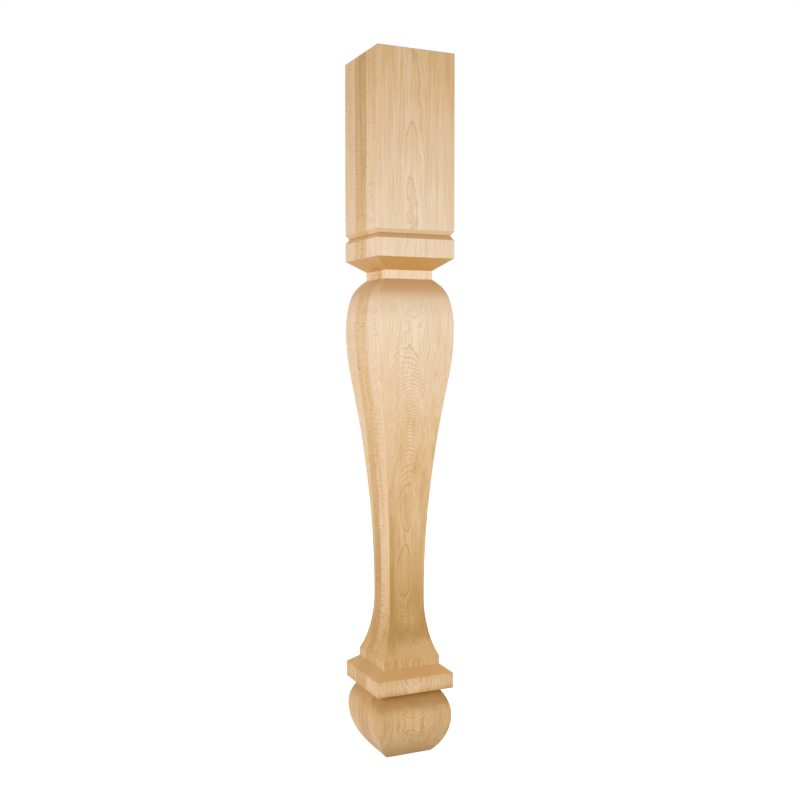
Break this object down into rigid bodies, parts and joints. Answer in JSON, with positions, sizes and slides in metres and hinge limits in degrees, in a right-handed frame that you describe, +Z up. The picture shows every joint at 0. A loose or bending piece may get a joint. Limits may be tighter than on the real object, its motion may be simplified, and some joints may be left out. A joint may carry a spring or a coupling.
{
  "type": "table leg",
  "caption": "Square wooden table leg of bar height: plain top block, grooved band, swelling shaft tapering to an ankle, bevelled plinth and rounded square foot.",
  "frame": {"origin": "middle of the sole, on the floor", "axes": "+Z up along the leg to the table top; -Y is the front, square to one side of the block; +X is to the right seen from the front"},
  "size_m": [0.127, 0.127, 1.0668],
  "materials": {
    "maple": "sanded, unfinished"
  },
  "bodies": {
    "root": {"leg": "maple"}
  },
  "joints": []
}
